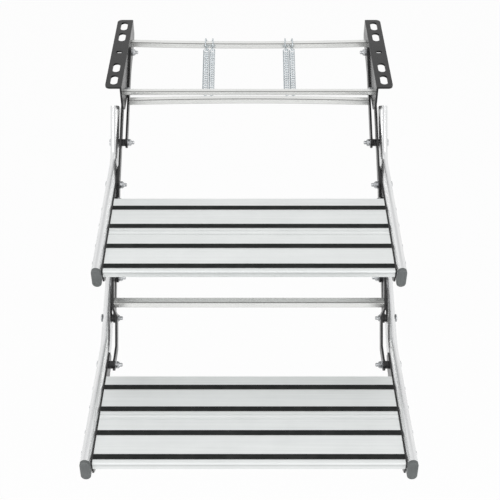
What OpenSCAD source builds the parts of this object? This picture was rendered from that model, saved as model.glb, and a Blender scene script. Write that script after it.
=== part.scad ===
// Double folding entry step for a caravan or camper door.
// Origin at the middle of the two short bracket slots, on the mounting plane.
// The front of the step faces -Y, and +Z is up. Every size is in millimetres.

/* [Width] */
// Width over the outer faces of the two side rails
rail_span = 581; // [480:1:700]

/* [Brackets] */
// Length of each angle bracket, front to back
bracket_len = 280; // [272:1:320]
// Width of the flange that is bolted to the vehicle
flange_w = 34; // [30:1:44]
// Height of the web that carries the pivots
web_h = 70; // [68:1:90]
// Thickness of the bracket steel
bracket_t = 4; // [3:0.5:5]
// Length of a long slot, end to end
slot_len = 35; // [24:1:38]
// Width of a long slot
slot_w = 15; // [10:0.5:18]
// Distance between the two outer long slots
slot_outer_pitch = 223; // [214:1:228]
// Distance between the two inner long slots
slot_inner_pitch = 127; // [110:1:134]
// Length of the short slot, across the flange
short_slot_len = 13.5; // [11:0.5:16]
// Width of the short slot
short_slot_w = 9; // [6:0.5:10]

/* [Rails] */
// Width of the flat-oval rail tube
rail_w = 18; // [16:0.5:22]
// Height of the flat-oval rail tube
rail_h = 42; // [36:1:46]
// Wall of the rail tube
rail_wall = 2; // [1.5:0.25:3]
// Bend radius of the upper rails, at the tube's centre line
upper_bend_r = 48; // [36:1:60]
// Bend radius of the lower rails, at the tube's centre line
lower_bend_r = 80; // [60:1:110]
// Slope of the upper rail's leg
upper_leg_deg = 48; // [46:1:50]
// Length of the upper rail's leg after the bend
upper_leg_len = 97; // [86:1:104]
// Slope of the lower rail's leg, above its tread
lower_leg_deg = 27; // [25:1:29]
// Length of the lower rail's leg after the bend
lower_leg_len = 136; // [120:1:144]
// Thickness of the side plates between rail and planks
side_plate_t = 3; // [2:0.5:4]
// How far an end cap stands out of its rail
cap_depth = 8; // [5:0.5:12]

/* [Treads] */
// Depth of the front plank
front_plank_d = 110; // [106:1:116]
// Depth of the rear plank
rear_plank_d = 104.5; // [102:0.5:112]
// Thickness of the planks
plank_t = 14; // [12:0.5:16]
// Wall of the hollow planks
plank_wall = 2; // [1.5:0.25:2.5]
// Height of the tread surface above the rail's centre line
tread_rise = 12; // [9:0.5:13]
// Width of a rubber strip
strip_w = 11; // [8:0.5:13]
// How far a strip stands above the planks
strip_proud = 1.2; // [0.6:0.1:2]
// Depth of the groove that holds a strip
groove_d = 3; // [2:0.25:3.5]

/* [Links] */
// Thickness of the flat steel links
link_t = 4; // [3:0.5:4.5]
// Width of the flat steel links
link_w = 18; // [16:0.5:18.5]
// Length of the upper links between their pivots
upper_link_len = 217; // [205:1:225]
// Slope of the upper links below the horizontal
upper_link_drop = 29; // [26:0.5:32]
// Length of the lower links between their pivots
lower_link_len = 236; // [226:1:246]
// Slope of the lower links below the horizontal
lower_link_drop = 39.5; // [36:0.5:44]
// Length of the tail that drives the lower stage
drive_tail_len = 155; // [140:1:165]
// Tilt of the lower tread, nose up
lower_tilt = 5; // [0:0.5:7]

/* [Bars and springs] */
// Side of the rear tie bar and the spring bar
bar_w = 13; // [11:0.5:15]
// Side of the front tie bar
front_bar_w = 10.5; // [9:0.5:12]
// Side of the lower tie bar
lower_bar_w = 15; // [12:0.5:17]
// Wall of the bars
bar_wall = 1.5; // [1:0.25:2]
// Outer diameter of a tension spring
spring_d = 12; // [9:0.5:13]
// Wire diameter of a tension spring
spring_wire = 2; // [1.5:0.1:2.4]
// Distance from the middle of the step to the middle of a spring pair
spring_pair_x = 88; // [70:1:110]
// Distance between the two springs of a pair
spring_gap_x = 15; // [14:0.5:20]

/* [Fasteners] */
// Diameter of a pivot bolt
bolt_d = 8; // [6:0.5:8.5]
// Width across the flats of a lock nut
nut_af = 13; // [11:0.5:15]
// Height of a lock nut
nut_h = 8; // [6:0.5:9]
// Diameter of a plank screw
screw_d = 5; // [4:0.5:5.5]

/* [Hidden] */
$fn = 48;

black = [0.16, 0.16, 0.17];
silver = [0.86, 0.87, 0.87];
zinc = [0.66, 0.7, 0.74];
grey = [0.42, 0.44, 0.44];
rubber = [0.1, 0.1, 0.1];

// How much wider a link's eye is than its bar
eye_extra = 1.4;

// Clearances: running fit of a pivot, loop-closing fit, slack hole, gap beside a moving plate
run_gap = 0.06;
loose_gap = 0.4;
slack_gap = 0.2;
side_gap = 0.5;
face_gap = 0.3;

// Bolt ends and heads
thread_end = 6;
head_h = 4;
head_d = 2 * bolt_d;
low_head_h = 2.4;

// A rail's leg is a hair slimmer than its bend and starts just inside it
leg_less = 0.06;
leg_overlap = 0.8;

// Planes across the width, on the right-hand side
rail_out_x = rail_span / 2;
rail_in_x = rail_out_x - rail_w;
side_plate_x = rail_in_x - side_plate_t;
front_link_x = side_plate_x - side_gap - link_t;
web_x = front_link_x - side_gap - bracket_t;
drive_link_x = front_link_x - side_gap - link_t;
rear_link_x = web_x - side_gap - link_t;
lower_joggle_x = front_link_x - link_t - side_gap - 2.2;
plank_end_x = side_plate_x;

// Pivots as [y, z]: two on the bracket, two on the upper step, two more for each stage
front_pivot = [-72, -52];
upper_base = [104, 32];
lower_base = [100, 27];
function polar(len, deg) = [len * cos(deg), len * sin(deg)];
function dir_deg(a, b) = atan2(b[1] - a[1], b[0] - a[0]);
rear_pivot = front_pivot + upper_base;
upper_front_pin = front_pivot + polar(upper_link_len, 180 + upper_link_drop);
upper_rear_pin = upper_front_pin + upper_base;
// Hangers of the lower stage, on the upper step's side plates
hanger_front = upper_front_pin + [-144, -36];
hanger_rear = hanger_front + lower_base;
lower_front_pin = hanger_front + polar(lower_link_len, 180 + lower_link_drop);
lower_rear_pin = lower_front_pin + lower_base;
tail_pin = upper_front_pin + polar(drive_tail_len, 180 + lower_link_drop);
drive_pin = hanger_rear + polar(drive_tail_len, 180 + lower_link_drop);

// Steps: each is drawn with its front pin at the origin and its rails level
tread_d = front_plank_d + rear_plank_d;
upper_tread_back = 60.5;
lower_tread_back = 45;
upper_vertex_y = 75;
lower_vertex_y = 48;
function turn_back(p, deg) = [p[0] * cos(deg) - p[1] * sin(deg), p[0] * sin(deg) + p[1] * cos(deg)];
lower_base_local = turn_back(lower_base, lower_tilt);
upper_hanger_front = hanger_front - upper_front_pin;
upper_hanger_rear = hanger_rear - upper_front_pin;

// Strip and screw places, from each plank's front edge
strip_places = [15, 71];
rear_strip_shift = 4.5;
screw_places = [29.5, 78.5];
screw_z = tread_rise - groove_d - plank_wall - screw_d / 2 - 0.5;
function screw_ys(back) = concat(
    [for (p = screw_places) -back - tread_d + p],
    [for (p = screw_places) -back - rear_plank_d + p]);

// Tie bars and springs as [y, z]
rear_bar_at = [85, -28];
front_bar_at = [-100, -37];
spring_bar_along = 0.55;
spring_bar_at = rear_pivot + polar(upper_link_len * spring_bar_along, 180 + upper_link_drop);
knee = lower_front_pin + [46, -1];
lower_bar_at = hanger_front + (knee - hanger_front) * 0.565;
joggle_at = hanger_front + (knee - hanger_front) * 0.62;
bar_bow = 4.5;
// The ends of a bowed bar stop this short, because its end faces lean
bow_gap = 0.25;
spring_span = norm(spring_bar_at - rear_bar_at);
spring_end = 20;
bowed_in = bar_bow * (1 - pow(spring_pair_x / web_x, 2));

// Draws its child on the right (1) or mirrored on the left (-1)
module on_side(side) {
    if (side > 0) children();
    else mirror([1, 0, 0]) children();
}

module both_sides() {
    on_side(1) children();
    on_side(-1) children();
}

// Extrudes a flat shape, drawn in y and z, across the width from x
module plate(x, t) {
    translate([x, 0, 0]) rotate([90, 0, 90]) linear_extrude(t) children();
}

module pin_hole(at, r, x0, x1) {
    translate([x0, at[0], at[1]]) rotate([0, 90, 0]) cylinder(r = r, h = x1 - x0);
}

module bar_2d(a, b, w) {
    translate(a) rotate(dir_deg(a, b)) translate([0, -w / 2]) square([norm(b - a), w]);
}

// A flat link through a list of points, with an eye at each one a little wider than the bar
module link_2d(points, w) {
    for (p = points) translate(p) circle(d = w + eye_extra);
    for (i = [1 : len(points) - 1]) bar_2d(points[i - 1], points[i], w);
}

module slot_2d(len, w) {
    square([len - w, w], center = true);
    for (s = [-1, 1]) translate([s * (len - w) / 2, 0]) circle(d = w);
}

module oval_2d(w, h) {
    square([w, h - w], center = true);
    for (s = [-1, 1]) translate([0, s * (h - w) / 2]) circle(d = w);
}

module rounded_2d(w, h, r) {
    square([w - 2 * r, h], center = true);
    square([w, h - 2 * r], center = true);
    for (sx = [-1, 1], sy = [-1, 1])
        translate([sx * (w / 2 - r), sy * (h / 2 - r)]) circle(r = r);
}

// Bracket: an angle with slots in its flange and pivot holes in its web
module bracket_solid() {
    corner_r = 10;
    web_corner = 12;
    difference() {
        union() {
            translate([web_x, -bracket_len / 2, -bracket_t])
                flange_plate(corner_r);
            plate(web_x, bracket_t) polygon([
                [-bracket_len / 2, 0], [bracket_len / 2, 0],
                [bracket_len / 2, -web_h / 2], [bracket_len / 2 - web_corner, -web_h / 2 - web_corner],
                [rear_pivot[0], -web_h], [-bracket_len / 2 + 2 * web_corner, -web_h],
                [-bracket_len / 2, -web_h + 2 * web_corner]]);
        }
        // Outer bend of the angle
        translate([web_x, -bracket_len / 2 - 1, 0]) rotate([-90, 0, 0]) linear_extrude(bracket_len + 2)
            difference() {
                translate([-1, -1]) square([bracket_t / 2 + 1, bracket_t / 2 + 1]);
                translate([bracket_t / 2, bracket_t / 2]) circle(d = bracket_t);
            }
        pin_hole(front_pivot, bolt_d / 2 + slack_gap, web_x - 1, web_x + bracket_t + 1);
        pin_hole(rear_pivot, bolt_d / 2 + slack_gap, web_x - 1, web_x + bracket_t + 1);
        pin_hole(rear_bar_at, screw_d / 2 + slack_gap, web_x - 1, web_x + bracket_t + 1);
        pin_hole(front_bar_at, screw_d / 2 + slack_gap, web_x - 1, web_x + bracket_t + 1);
    }
}

module flange_plate(corner_r) {
    linear_extrude(bracket_t) difference() {
        union() {
            square([flange_w - corner_r, bracket_len]);
            translate([0, corner_r]) square([flange_w, bracket_len - 2 * corner_r]);
            for (y = [corner_r, bracket_len - corner_r])
                translate([flange_w - corner_r, y]) circle(r = corner_r);
        }
        for (s = [-1, 1], p = [slot_outer_pitch, slot_inner_pitch])
            translate([flange_w / 2 + 0.5, bracket_len / 2 + s * p / 2]) rotate(90) slot_2d(slot_len, slot_w);
        translate([flange_w / 2 + 0.5, bracket_len / 2]) slot_2d(short_slot_len, short_slot_w);
    }
}

module bracket_left() { color(black) on_side(-1) bracket_solid(); }
module bracket_right() { color(black) on_side(1) bracket_solid(); }

// A square tube with round corners, bowed by the pull of the springs
module bowed_bar(at, half, w, bow, bow_deg) {
    translate([0, at[0], at[1]]) rotate([bow_deg, 0, 0]) {
        if (bow > 0) {
            bend_r = (half * half + bow * bow) / (2 * bow);
            sweep = 2 * asin(half / bend_r);
            translate([0, bow - bend_r, 0]) rotate([0, 0, 90 - sweep / 2])
                rotate_extrude(angle = sweep, $fn = 120) translate([bend_r, 0])
                    rotate(-bow_deg) tube_2d(w);
        } else {
            translate([-half, 0, 0]) rotate([90, 0, 90]) linear_extrude(2 * half)
                rotate(-bow_deg) tube_2d(w);
        }
    }
}

module tube_2d(w) {
    difference() {
        rounded_2d(w, w, 2.5);
        rounded_2d(w - 2 * bar_wall, w - 2 * bar_wall, 1);
    }
}

module rear_tie_bar() {
    color(silver) bowed_bar(rear_bar_at, web_x - bow_gap, bar_w, bar_bow,
        dir_deg(rear_bar_at, spring_bar_at));
}

module front_tie_bar() { color(silver) bowed_bar(front_bar_at, web_x, front_bar_w, 0, 0); }

module spring_bar() {
    color(silver) difference() {
        bowed_bar(spring_bar_at, rear_link_x - bow_gap, bar_w, bar_bow,
            dir_deg(spring_bar_at, rear_bar_at));
        for (sx = [-1, 1], sg = [-0.5, 0.5])
            translate([sx * spring_pair_x + sg * spring_gap_x, spring_bar_at[0], spring_bar_at[1]])
                rotate([dir_deg(spring_bar_at, rear_bar_at), 0, 0]) rotate([-90, 0, 0])
                    cylinder(d = spring_wire + 1, h = bar_w + bar_bow);
    }
}

// Screw into a bar's end: a plain shank through the plate, with a low head or set flush
module flush_screw(at, x_plate, t) {
    translate([x_plate - bar_w, at[0], at[1]]) rotate([0, 90, 0]) cylinder(d = screw_d, h = bar_w + t);
}

module end_screw(at, x_plate, t) {
    flush_screw(at, x_plate, t);
    translate([x_plate + t, at[0], at[1]]) rotate([0, 90, 0]) cylinder(d = 2 * screw_d, h = low_head_h - 1);
}

module bracket_bar_screws() {
    color(zinc) both_sides() for (at = [rear_bar_at, front_bar_at]) end_screw(at, web_x, bracket_t);
}

module spring_bar_screws() { color(zinc) both_sides() flush_screw(spring_bar_at, rear_link_x, link_t); }

// Bolt from a head face at x, inwards to past its nut
module bolt(at, x_head, x_nut, h = head_h) {
    translate([x_nut - nut_h - thread_end, at[0], at[1]]) rotate([0, 90, 0])
        cylinder(d = bolt_d, h = x_head - x_nut + nut_h + thread_end);
    translate([x_head, at[0], at[1]]) rotate([0, 90, 0]) cylinder(d = head_d, h = h);
}

module nut(at, x_nut) {
    collar_h = 0.25 * nut_h;
    translate([x_nut, at[0], at[1]]) rotate([0, -90, 0]) difference() {
        union() {
            cylinder(d = nut_af / cos(30), h = nut_h - collar_h, $fn = 6);
            cylinder(d = nut_af * 0.92, h = nut_h);
        }
        translate([0, 0, -1]) cylinder(r = bolt_d / 2 + run_gap, h = nut_h + 2);
    }
}

module spacer(at, x0, x1) {
    translate([x0, at[0], at[1]]) rotate([0, 90, 0]) difference() {
        cylinder(d = 1.9 * bolt_d, h = x1 - x0);
        translate([0, 0, -1]) cylinder(r = bolt_d / 2 + run_gap, h = x1 - x0 + 2);
    }
}

module bracket_bolts() {
    color(zinc) both_sides() {
        bolt(rear_pivot, web_x + bracket_t, rear_link_x - face_gap, low_head_h);
        bolt(front_pivot, front_link_x + link_t + face_gap, web_x, low_head_h);
    }
}

module bracket_nuts() {
    color(zinc) both_sides() {
        nut(rear_pivot, rear_link_x - face_gap);
        nut(front_pivot, web_x);
    }
}

// Tension spring: its coils are drawn as a ridged body with closed ends. Its rear end loops round
// the tie bar, and its front end goes through a hole in the spring bar.
module spring(x) {
    outer = spring_d / 2;
    valley = outer - 0.8;
    inner = outer - spring_wire;
    turns = 20;
    coil_from = bowed_in + spring_end;
    coil_len = spring_span - 2 * bowed_in - 2 * spring_end;
    pitch = coil_len / turns;
    loop_r = (bar_w / 2 - 2.5) * sqrt(2) + 2.5 + spring_wire / 2 + 0.15;
    wire = 0.85 * spring_wire;
    ridges = [for (i = [0 : turns - 1], p = [[valley, 0], [outer, 0.35], [outer, 0.65]])
        [p[0], (i + p[1]) * pitch]];
    translate([x, rear_bar_at[0], rear_bar_at[1]])
        rotate([dir_deg(rear_bar_at, spring_bar_at), 0, 0]) {
            translate([0, coil_from, 0]) rotate([-90, 0, 0]) rotate_extrude($fn = 24)
                polygon(concat([[0, 0]], ridges, [[valley, coil_len], [0, coil_len],
                    [0, coil_len - spring_wire], [inner, coil_len - spring_wire],
                    [inner, spring_wire], [0, spring_wire]]));
            translate([0, bowed_in + loop_r, 0]) rotate([-90, 0, 0])
                cylinder(d = wire, h = spring_end - loop_r + 0.5);
            translate([0, bowed_in, 0]) rotate([0, 90, 0])
                rotate_extrude($fn = 24) translate([loop_r, 0]) circle(d = spring_wire, $fn = 16);
            translate([0, coil_from + coil_len - 0.5, 0]) rotate([-90, 0, 0])
                cylinder(d = wire, h = spring_end - bar_w / 2 + bar_wall + 1.5);
        }
}

module spring_1() { color(zinc) spring(-spring_pair_x - spring_gap_x / 2); }
module spring_2() { color(zinc) spring(-spring_pair_x + spring_gap_x / 2); }
module spring_3() { color(zinc) spring(spring_pair_x - spring_gap_x / 2); }
module spring_4() { color(zinc) spring(spring_pair_x + spring_gap_x / 2); }

// Upper links
module upper_rear_link() {
    plate(rear_link_x, link_t) difference() {
        union() {
            link_2d([rear_pivot, upper_rear_pin], link_w);
            for (p = [rear_pivot, upper_rear_pin]) translate(p) circle(d = link_w + 5);
        }
        translate(rear_pivot) circle(r = bolt_d / 2 + run_gap);
        translate(upper_rear_pin) circle(r = bolt_d / 2 + loose_gap);
        translate(spring_bar_at) circle(r = screw_d / 2 + slack_gap);
    }
}

module upper_front_link() {
    plate(front_link_x, link_t) difference() {
        union() {
            link_2d([front_pivot, upper_front_pin, tail_pin], link_w);
            translate(front_pivot) circle(d = link_w + 3);
        }
        for (p = [front_pivot, upper_front_pin, tail_pin]) translate(p) circle(r = bolt_d / 2 + run_gap);
    }
}

module drive_link() {
    plate(drive_link_x, link_t) difference() {
        link_2d([tail_pin, drive_pin], link_w);
        translate(tail_pin) circle(r = bolt_d / 2 + run_gap);
        translate(drive_pin) circle(r = bolt_d / 2 + loose_gap);
    }
}

module upper_rear_link_left() { color(black) on_side(-1) upper_rear_link(); }
module upper_rear_link_right() { color(black) on_side(1) upper_rear_link(); }
module upper_front_link_left() { color(black) on_side(-1) upper_front_link(); }
module upper_front_link_right() { color(black) on_side(1) upper_front_link(); }
module drive_link_left() { color(black) on_side(-1) drive_link(); }
module drive_link_right() { color(black) on_side(1) drive_link(); }

module drive_bolts() { color(zinc) both_sides()
    bolt(tail_pin, front_link_x + link_t, drive_link_x - face_gap, low_head_h); }
module drive_nuts() { color(zinc) both_sides() nut(tail_pin, drive_link_x - face_gap); }

module drive_pins() {
    color(zinc) both_sides() {
        bolt(drive_pin, front_link_x + link_t, drive_link_x - face_gap, low_head_h);
        nut(drive_pin, drive_link_x - face_gap);
    }
}

// Lower links
module lower_rear_link() {
    plate(front_link_x, link_t) difference() {
        link_2d([hanger_rear, lower_rear_pin], link_w);
        translate(hanger_rear) circle(r = bolt_d / 2 + run_gap);
        translate(lower_rear_pin) circle(r = bolt_d / 2 + loose_gap);
        translate(drive_pin) circle(r = bolt_d / 2 + slack_gap);
    }
}

module lower_rear_link_left() { color(black) on_side(-1) lower_rear_link(); }
module lower_rear_link_right() { color(black) on_side(1) lower_rear_link(); }

module lower_front_link() {
    joggle_run = 14;
    joggle_less = 0.3;
    way = (knee - hanger_front) / norm(knee - hanger_front);
    joggle_end = joggle_at + way * joggle_run;
    difference() {
        union() {
            plate(front_link_x, link_t) union() {
                translate(hanger_front) circle(d = link_w + eye_extra);
                bar_2d(hanger_front, joggle_at, link_w);
            }
            translate([0, joggle_at[0], joggle_at[1]]) rotate([dir_deg(joggle_at, joggle_end), 0, 0])
                translate([0, 0, -link_w / 2 + joggle_less])
                linear_extrude(link_w - 2 * joggle_less) polygon([
                    [front_link_x, -2], [front_link_x + link_t, -2], [front_link_x + link_t, 0],
                    [lower_joggle_x + link_t, joggle_run], [lower_joggle_x + link_t, joggle_run + 2],
                    [lower_joggle_x, joggle_run + 2], [lower_joggle_x, joggle_run], [front_link_x, 0]]);
            plate(lower_joggle_x, link_t) union() {
                bar_2d(joggle_end, knee, link_w);
                translate(knee) circle(d = link_w + eye_extra / 2);
                bar_2d(knee, lower_front_pin, link_w);
                translate(lower_front_pin) circle(d = link_w + 5);
            }
        }
        pin_hole(hanger_front, bolt_d / 2 + run_gap, front_link_x - 1, front_link_x + link_t + 1);
        pin_hole(lower_front_pin, bolt_d / 2 + run_gap, lower_joggle_x - 1, lower_joggle_x + link_t + 1);
        pin_hole(lower_bar_at, screw_d / 2 + slack_gap, front_link_x - 1, front_link_x + link_t + 1);
    }
}

module lower_front_link_left() { color(black) on_side(-1) lower_front_link(); }
module lower_front_link_right() { color(black) on_side(1) lower_front_link(); }
module lower_tie_bar() { color(silver) bowed_bar(lower_bar_at, front_link_x, lower_bar_w, 0, 0); }

module lower_bar_screws() { color(zinc) both_sides() flush_screw(lower_bar_at, front_link_x, link_t); }

// Rail: a flat-oval tube with a straight run under the tread and a leg bent up behind it
module tube_oval_2d(less = 0) {
    difference() {
        oval_2d(rail_w - less, rail_h - less);
        oval_2d(rail_w - 2 * rail_wall - less, rail_h - 2 * rail_wall - less);
    }
}

module rail_run(length, less = 0) {
    rotate([-90, 0, 0]) linear_extrude(length) tube_oval_2d(less);
}

// The bend's centre is above the straight run, and the leg is turned round it
module rail_path(front_y, vertex_y, leg_deg, leg_len, r) {
    bend_y = vertex_y - r * tan(leg_deg / 2);
    translate([0, bend_y, 0]) mirror([0, 1, 0]) rail_run(bend_y - front_y);
    translate([0, bend_y, r]) {
        rotate([90, 0, 90]) rotate([0, 0, -90])
            rotate_extrude(angle = leg_deg, $fn = 96) translate([r, 0])
                rotate(90) tube_oval_2d();
        rotate([leg_deg, 0, 0]) translate([0, -leg_overlap, -r])
            rail_run(leg_len + leg_overlap, leg_less);
    }
}

module rail(front_y, vertex_y, leg_deg, leg_len, r, pin_list, tread_back) {
    translate([rail_in_x + rail_w / 2, 0, 0]) difference() {
        rail_path(front_y, vertex_y, leg_deg, leg_len, r);
        for (p = pin_list)
            pin_hole(p, bolt_d / 2 + slack_gap, -rail_w, rail_w);
        for (y = screw_ys(tread_back))
            pin_hole([y, screw_z], screw_d / 2 + slack_gap, -rail_w, rail_w);
    }
}

module place_upper() { translate([0, upper_front_pin[0], upper_front_pin[1]]) children(); }
module place_lower() {
    translate([0, lower_front_pin[0], lower_front_pin[1]]) rotate([-lower_tilt, 0, 0]) children();
}

module upper_rail() {
    rail(-upper_tread_back - tread_d, upper_vertex_y, upper_leg_deg, upper_leg_len, upper_bend_r,
        [[0, 0], upper_base, upper_hanger_rear], upper_tread_back);
}

module lower_rail() {
    rail(-lower_tread_back - tread_d, lower_vertex_y, lower_leg_deg, lower_leg_len, lower_bend_r,
        [[0, 0], lower_base_local], lower_tread_back);
}

module upper_rail_left() { color(silver) place_upper() on_side(-1) upper_rail(); }
module upper_rail_right() { color(silver) place_upper() on_side(1) upper_rail(); }
module lower_rail_left() { color(silver) place_lower() on_side(-1) lower_rail(); }
module lower_rail_right() { color(silver) place_lower() on_side(1) lower_rail(); }

// End cap: a moulded plug with a flat-oval face
module cap(back) {
    front = -back - tread_d;
    face = 1.5;
    translate([rail_in_x + rail_w / 2, front, 0]) rotate([90, 0, 0]) {
        linear_extrude(cap_depth - face) oval_2d(rail_w, rail_h);
        translate([0, 0, cap_depth - face]) linear_extrude(face)
            oval_2d(rail_w - 2 * face, rail_h - 2 * face);
        translate([0, 0, -cap_depth]) linear_extrude(cap_depth)
            oval_2d(rail_w - 2 * rail_wall - 0.1, rail_h - 2 * rail_wall - 0.1);
    }
}

module upper_cap_left() { color(grey) place_upper() on_side(-1) cap(upper_tread_back); }
module upper_cap_right() { color(grey) place_upper() on_side(1) cap(upper_tread_back); }
module lower_cap_left() { color(grey) place_lower() on_side(-1) cap(lower_tread_back); }
module lower_cap_right() { color(grey) place_lower() on_side(1) cap(lower_tread_back); }

// Side plate between rail and planks, from the rail's bend to the nose
module side_plate(back, vertex_y, hangers, holes) {
    top = tread_rise;
    bottom = -rail_h / 2 - 6;
    nose = -back - tread_d + 6;
    plate(side_plate_x, side_plate_t) difference() {
        union() {
            polygon([[nose, top], [nose, bottom + 8], [nose + 12, bottom], [-back, bottom],
                [vertex_y - 30, -rail_h / 2 + 4], [vertex_y - 18, -4], [vertex_y - 26, top]]);
            for (h = hangers) {
                translate(h) circle(d = link_w + 4);
                translate([h[0] - link_w / 2 - 2, h[1]]) square([link_w + 4, -h[1]]);
            }
        }
        for (p = concat(holes, hangers)) translate(p) circle(r = bolt_d / 2 + slack_gap);
        for (y = screw_ys(back)) translate([y, screw_z]) circle(r = screw_d / 2 + slack_gap);
    }
}

module upper_side_plate() {
    side_plate(upper_tread_back, upper_vertex_y, [upper_hanger_front, upper_hanger_rear], [[0, 0]]);
}
module lower_side_plate() { side_plate(lower_tread_back, lower_vertex_y, [], [[0, 0]]); }
module upper_side_plate_left() { color(black) place_upper() on_side(-1) upper_side_plate(); }
module upper_side_plate_right() { color(black) place_upper() on_side(1) upper_side_plate(); }
module lower_side_plate_left() { color(black) place_lower() on_side(-1) lower_side_plate(); }
module lower_side_plate_right() { color(black) place_lower() on_side(1) lower_side_plate(); }

// Plank: a hollow extrusion with two dovetail grooves for the strips, front edge at y = 0
module groove_2d(extra) {
    lip = strip_w - 1.2;
    polygon([[-lip / 2, extra], [lip / 2, extra], [lip / 2, -1], [strip_w / 2 + 0.6, -1.6],
        [strip_w / 2 + 0.6, -groove_d], [-strip_w / 2 - 0.6, -groove_d], [-strip_w / 2 - 0.6, -1.6],
        [-lip / 2, -1]]);
}

module plank_2d(depth, shift) {
    post = screw_d + 2 * plank_wall;
    floor_z = -plank_t + plank_wall;
    edges = concat([plank_wall - post / 2], screw_places, [depth - plank_wall + post / 2]);
    difference() {
        union() {
            translate([0, -plank_t]) square([depth, plank_t - 2]);
            translate([2, -2]) square([depth - 2, 2]);
            translate([2, -2]) circle(r = 2);
        }
        difference() {
            for (i = [1 : len(edges) - 1])
                translate([edges[i - 1] + post / 2, floor_z])
                    square([edges[i] - edges[i - 1] - post, plank_t - 2 * plank_wall]);
            for (s = strip_places)
                translate([s + shift - strip_w / 2 - plank_wall, -groove_d - plank_wall])
                    square([strip_w + 2 * plank_wall, groove_d + plank_wall]);
        }
        for (s = strip_places) translate([s + shift, 0]) groove_2d(1);
        for (s = screw_places) translate([s, screw_z - tread_rise]) circle(d = screw_d);
        line_mark(depth, shift);
    }
}

// The fine line that runs along the joint of the two planks
module line_mark(depth, shift) {
    y = shift > 0 ? 5.5 : depth - 5.5;
    translate([y - 0.6, -0.8]) square([1.2, 1.8]);
}

module plank(back, front_offset, depth, shift) {
    translate([0, -back - tread_d + front_offset, tread_rise]) plate(-plank_end_x, 2 * plank_end_x)
        plank_2d(depth, shift);
}

module strip(back, index) {
    rear = index > 2;
    at = (rear ? front_plank_d + rear_strip_shift : 0) + strip_places[(index - 1) % 2];
    lip = strip_w / 2 - 0.6;
    foot = strip_w / 2 + 0.6;
    translate([0, -back - tread_d + at, tread_rise]) plate(-plank_end_x, 2 * plank_end_x) polygon([
        [-foot, -groove_d], [foot, -groove_d], [foot, -1.6], [lip, -1], [lip, 0], [strip_w / 2, 0],
        [strip_w / 2, strip_proud - 0.4], [strip_w / 2 - 0.6, strip_proud],
        [-strip_w / 2 + 0.6, strip_proud], [-strip_w / 2, strip_proud - 0.4], [-strip_w / 2, 0],
        [-lip, 0], [-lip, -1], [-foot, -1.6]]);
}

module upper_front_plank() { color(silver) place_upper() plank(upper_tread_back, 0, front_plank_d, 0); }
module upper_rear_plank() {
    color(silver) place_upper() plank(upper_tread_back, front_plank_d, rear_plank_d, rear_strip_shift);
}
module lower_front_plank() { color(silver) place_lower() plank(lower_tread_back, 0, front_plank_d, 0); }
module lower_rear_plank() {
    color(silver) place_lower() plank(lower_tread_back, front_plank_d, rear_plank_d, rear_strip_shift);
}
module upper_strip(index) { color(rubber) place_upper() strip(upper_tread_back, index); }
module lower_strip(index) { color(rubber) place_lower() strip(lower_tread_back, index); }

// Screws through rail and side plate into the planks' screw ports
module plank_screws(back) {
    length = rail_w + side_plate_t + 16;
    both_sides() for (y = screw_ys(back)) translate([rail_out_x, y, screw_z]) rotate([0, -90, 0]) {
        cylinder(d = screw_d, h = length);
        translate([0, 0, -low_head_h]) cylinder(d = 2 * screw_d, h = low_head_h);
    }
}

module upper_plank_screws() { color(zinc) place_upper() plank_screws(upper_tread_back); }
module lower_plank_screws() { color(zinc) place_lower() plank_screws(lower_tread_back); }

module upper_pivot_bolts() {
    color(zinc) both_sides() {
        bolt(upper_rear_pin, rail_out_x, rear_link_x - face_gap);
        bolt(upper_front_pin, rail_out_x, front_link_x - face_gap);
        bolt(hanger_rear, rail_out_x, front_link_x - face_gap);
        bolt(hanger_front, rail_in_x, front_link_x - face_gap);
    }
}

module upper_pivot_nuts() {
    color(zinc) both_sides() {
        nut(upper_rear_pin, rear_link_x - face_gap);
        for (p = [upper_front_pin, hanger_rear, hanger_front]) nut(p, front_link_x - face_gap);
    }
}

module upper_spacers() {
    color(black) both_sides() spacer(upper_rear_pin, rear_link_x + link_t + side_gap, rail_in_x);
}

module lower_pivot_bolts() {
    color(zinc) both_sides() {
        bolt(lower_rear_pin, rail_out_x, front_link_x - face_gap);
        bolt(lower_front_pin, rail_out_x, lower_joggle_x - face_gap);
    }
}

module lower_pivot_nuts() {
    color(zinc) both_sides() {
        nut(lower_rear_pin, front_link_x - face_gap);
        nut(lower_front_pin, lower_joggle_x - face_gap);
    }
}

module lower_spacers() {
    color(black) both_sides() {
        spacer(lower_rear_pin, front_link_x + link_t + side_gap, rail_in_x);
        spacer(lower_front_pin, lower_joggle_x + link_t + side_gap, side_plate_x);
    }
}

bracket_left();
bracket_right();
rear_tie_bar();
front_tie_bar();
bracket_bolts();
bracket_nuts();
bracket_bar_screws();
spring_1();
spring_2();
spring_3();
spring_4();
upper_rear_link_left();
upper_rear_link_right();
spring_bar();
spring_bar_screws();
upper_front_link_left();
upper_front_link_right();
drive_link_left();
drive_link_right();
drive_bolts();
drive_nuts();
drive_pins();
upper_rail_left();
upper_rail_right();
upper_cap_left();
upper_cap_right();
upper_side_plate_left();
upper_side_plate_right();
upper_front_plank();
upper_rear_plank();
upper_strip(1);  // upper_strip_1
upper_strip(2);  // upper_strip_2
upper_strip(3);  // upper_strip_3
upper_strip(4);  // upper_strip_4
upper_plank_screws();
upper_pivot_bolts();
upper_pivot_nuts();
upper_spacers();
lower_rear_link_left();
lower_rear_link_right();
lower_front_link_left();
lower_front_link_right();
lower_tie_bar();
lower_bar_screws();
lower_rail_left();
lower_rail_right();
lower_cap_left();
lower_cap_right();
lower_side_plate_left();
lower_side_plate_right();
lower_front_plank();
lower_rear_plank();
lower_strip(1);  // lower_strip_1
lower_strip(2);  // lower_strip_2
lower_strip(3);  // lower_strip_3
lower_strip(4);  // lower_strip_4
lower_plank_screws();
lower_pivot_bolts();
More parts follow.
